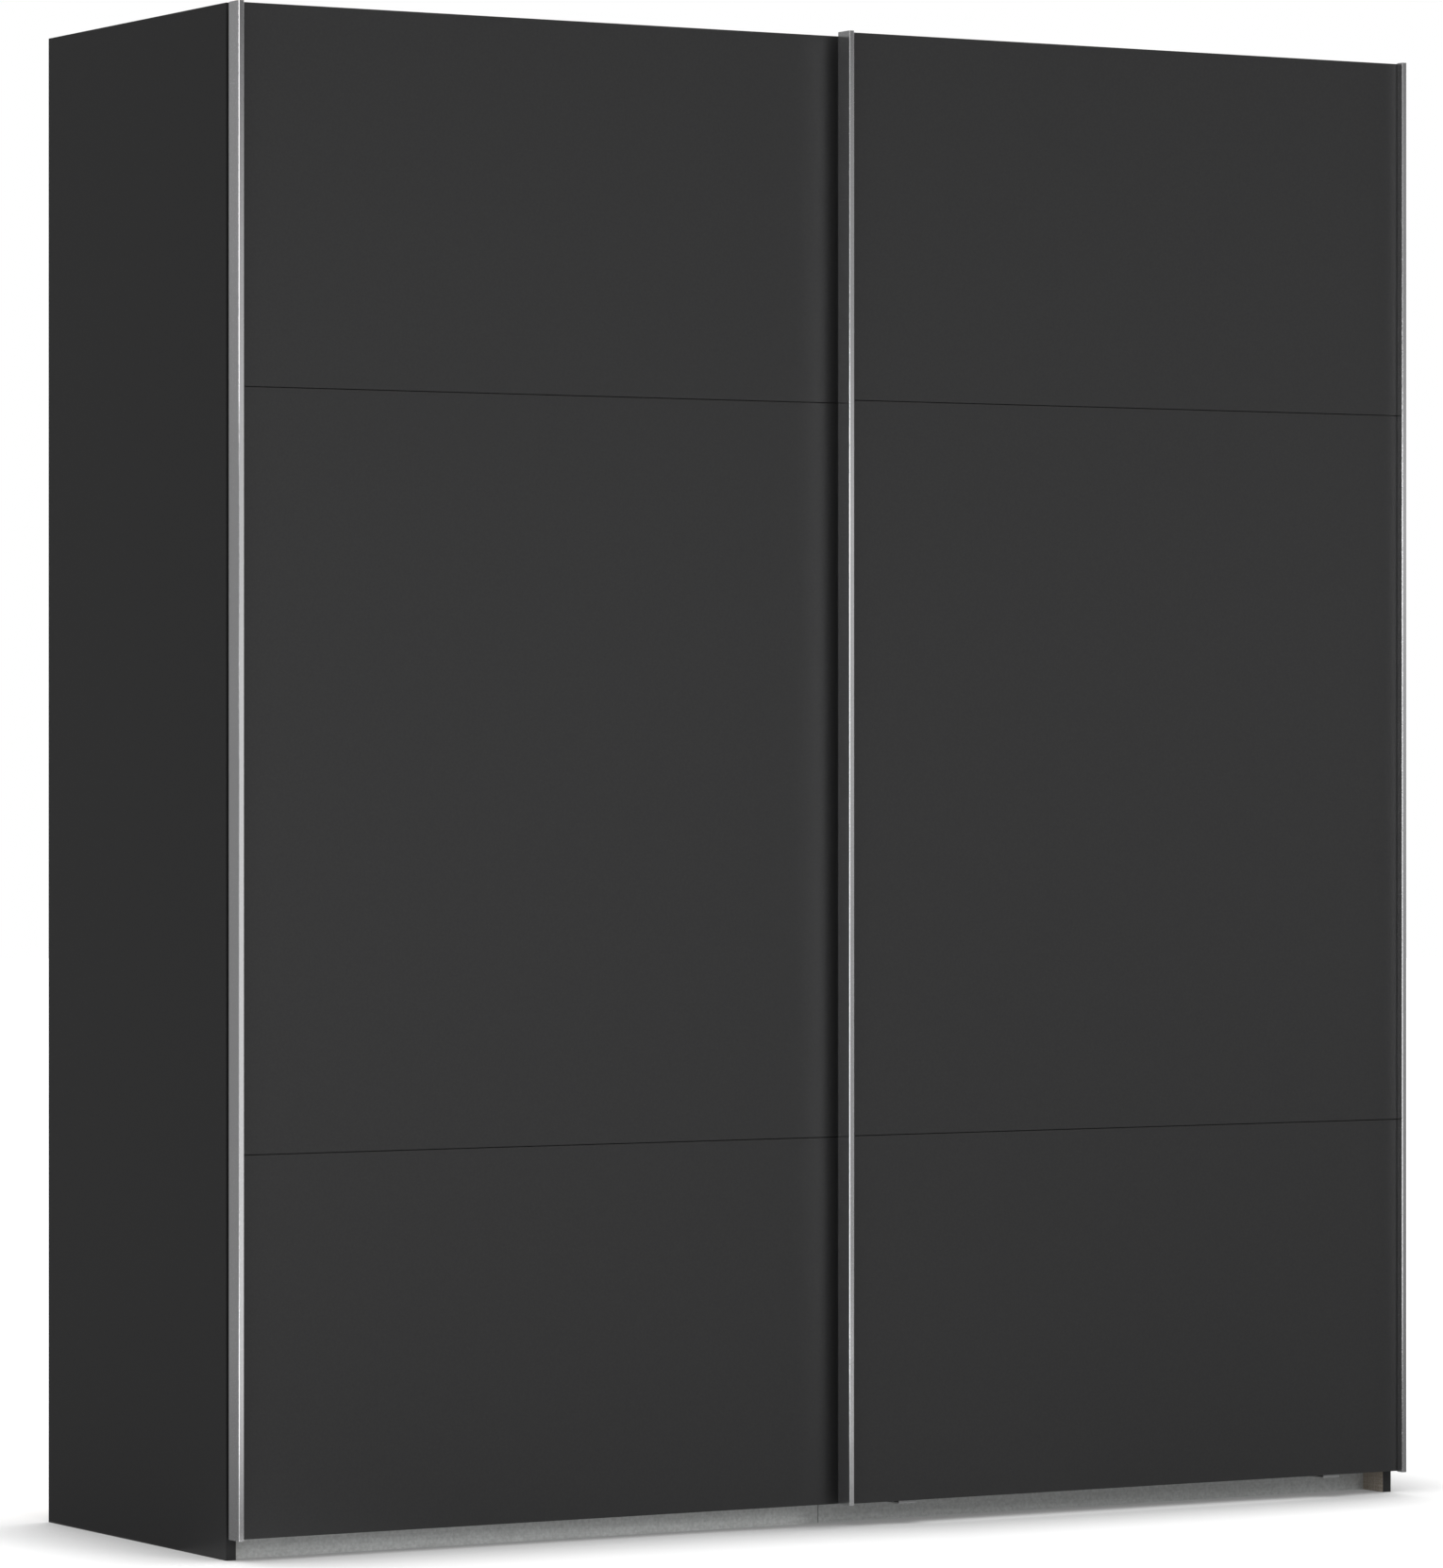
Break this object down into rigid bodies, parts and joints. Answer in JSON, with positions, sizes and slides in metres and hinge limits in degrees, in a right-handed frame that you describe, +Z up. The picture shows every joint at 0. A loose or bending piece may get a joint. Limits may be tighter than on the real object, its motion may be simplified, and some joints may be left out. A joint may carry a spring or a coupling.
{
  "type": "sliding door wardrobe",
  "caption": "Two-door sliding wardrobe with floating panelled doors, aluminium grip strips, a double running rail, hat shelves and clothes rails.",
  "frame": {"origin": "on the floor under the middle of the closed wardrobe", "axes": "+Z up, +X to the right seen from the front, +Y from the doors to the back"},
  "size_m": [2, 0.68, 2.223],
  "materials": {
    "graphite_board": "matt graphite melamine on chipboard",
    "taupe_board": "matt taupe linen-look melamine on chipboard",
    "plinth_board": "satin aluminium-look foil on chipboard",
    "anodised_aluminium": "satin anodised extrusion",
    "zinc_plated_steel": "bright zinc plated sheet steel",
    "chromed_tube": "chromed steel tube",
    "steel_pin": "turned steel",
    "acetal": "moulded natural acetal",
    "black_plastic": "moulded black plastic",
    "grey_plastic": "moulded grey plastic",
    "black_rubber": "moulded rubber",
    "hardboard": "hardboard, taupe lacquer inside"
  },
  "bodies": {
    "carcass": {"bottom_guide_rail": "anodised_aluminium", "centre_partition": "taupe_board", "left_back_panel": "hardboard", "left_bottom_board": "taupe_board", "left_clothes_rail": "chromed_tube", "left_clothes_rail_cups": "grey_plastic", "left_hat_shelf": "taupe_board", "left_plinth_board": "plinth_board", "left_rear_plinth_board": "taupe_board", "left_side_panel": "graphite_board", "left_top_board": "taupe_board", "plinth_joint_strip": "plinth_board", "rail_end_stops": "black_plastic", "right_back_panel": "hardboard", "right_bottom_board": "taupe_board", "right_clothes_rail": "chromed_tube", "right_clothes_rail_cups": "grey_plastic", "right_hat_shelf": "taupe_board", "right_plinth_board": "plinth_board", "right_rear_plinth_board": "taupe_board", "right_side_panel": "graphite_board", "right_top_board": "taupe_board", "shelf_pins": "steel_pin", "stop_buffers": "black_rubber", "top_running_rail": "anodised_aluminium"},
    "inner_door": {"inner_door_guide_shoes": "black_plastic", "inner_door_joint_splines": "black_plastic", "inner_door_left_grip_strip": "anodised_aluminium", "inner_door_left_hanger": "zinc_plated_steel", "inner_door_lower_panel": "graphite_board", "inner_door_middle_panel": "graphite_board", "inner_door_right_grip_strip": "anodised_aluminium", "inner_door_right_hanger": "zinc_plated_steel", "inner_door_roller_axles": "steel_pin", "inner_door_strip_plugs": "black_plastic", "inner_door_upper_panel": "graphite_board"},
    "outer_door": {"outer_door_guide_arms": "zinc_plated_steel", "outer_door_guide_shoes": "black_plastic", "outer_door_joint_splines": "black_plastic", "outer_door_left_grip_strip": "anodised_aluminium", "outer_door_left_hanger": "zinc_plated_steel", "outer_door_lower_panel": "graphite_board", "outer_door_middle_panel": "graphite_board", "outer_door_right_grip_strip": "anodised_aluminium", "outer_door_right_hanger": "zinc_plated_steel", "outer_door_roller_axles": "steel_pin", "outer_door_strip_plugs": "black_plastic", "outer_door_upper_panel": "graphite_board"},
    "inner_door_left_roller": {"inner_door_left_roller": "acetal"},
    "inner_door_right_roller": {"inner_door_right_roller": "acetal"},
    "outer_door_left_roller": {"outer_door_left_roller": "acetal"},
    "outer_door_right_roller": {"outer_door_right_roller": "acetal"}
  },
  "joints": [
    {"name": "inner_door_slide", "type": "slide", "parent": "carcass", "child": "inner_door", "axis": [1, 0, 0], "range_m": [0, 0.965]},
    {"name": "outer_door_slide", "type": "slide", "parent": "carcass", "child": "outer_door", "axis": [-1, 0, 0], "range_m": [0, 0.99]},
    {"name": "inner_door_left_roller_spin", "type": "hinge", "parent": "inner_door", "child": "inner_door_left_roller", "pos_m": [-0.88, -0.24, 2.201], "axis": [0, 1, 0], "continuous": true},
    {"name": "inner_door_right_roller_spin", "type": "hinge", "parent": "inner_door", "child": "inner_door_right_roller", "pos_m": [-0.11, -0.24, 2.201], "axis": [0, 1, 0], "continuous": true},
    {"name": "outer_door_left_roller_spin", "type": "hinge", "parent": "outer_door", "child": "outer_door_left_roller", "pos_m": [0.11, -0.212, 2.201], "axis": [0, 1, 0], "continuous": true},
    {"name": "outer_door_right_roller_spin", "type": "hinge", "parent": "outer_door", "child": "outer_door_right_roller", "pos_m": [0.88, -0.212, 2.201], "axis": [0, 1, 0], "continuous": true}
  ],
  "couplings": [
    {"joint": "inner_door_left_roller_spin", "follows": "inner_door_slide", "rad_per_m": 103.09},
    {"joint": "inner_door_right_roller_spin", "follows": "inner_door_slide", "rad_per_m": 103.09},
    {"joint": "outer_door_left_roller_spin", "follows": "outer_door_slide", "rad_per_m": -103.09},
    {"joint": "outer_door_right_roller_spin", "follows": "outer_door_slide", "rad_per_m": -103.09}
  ]
}
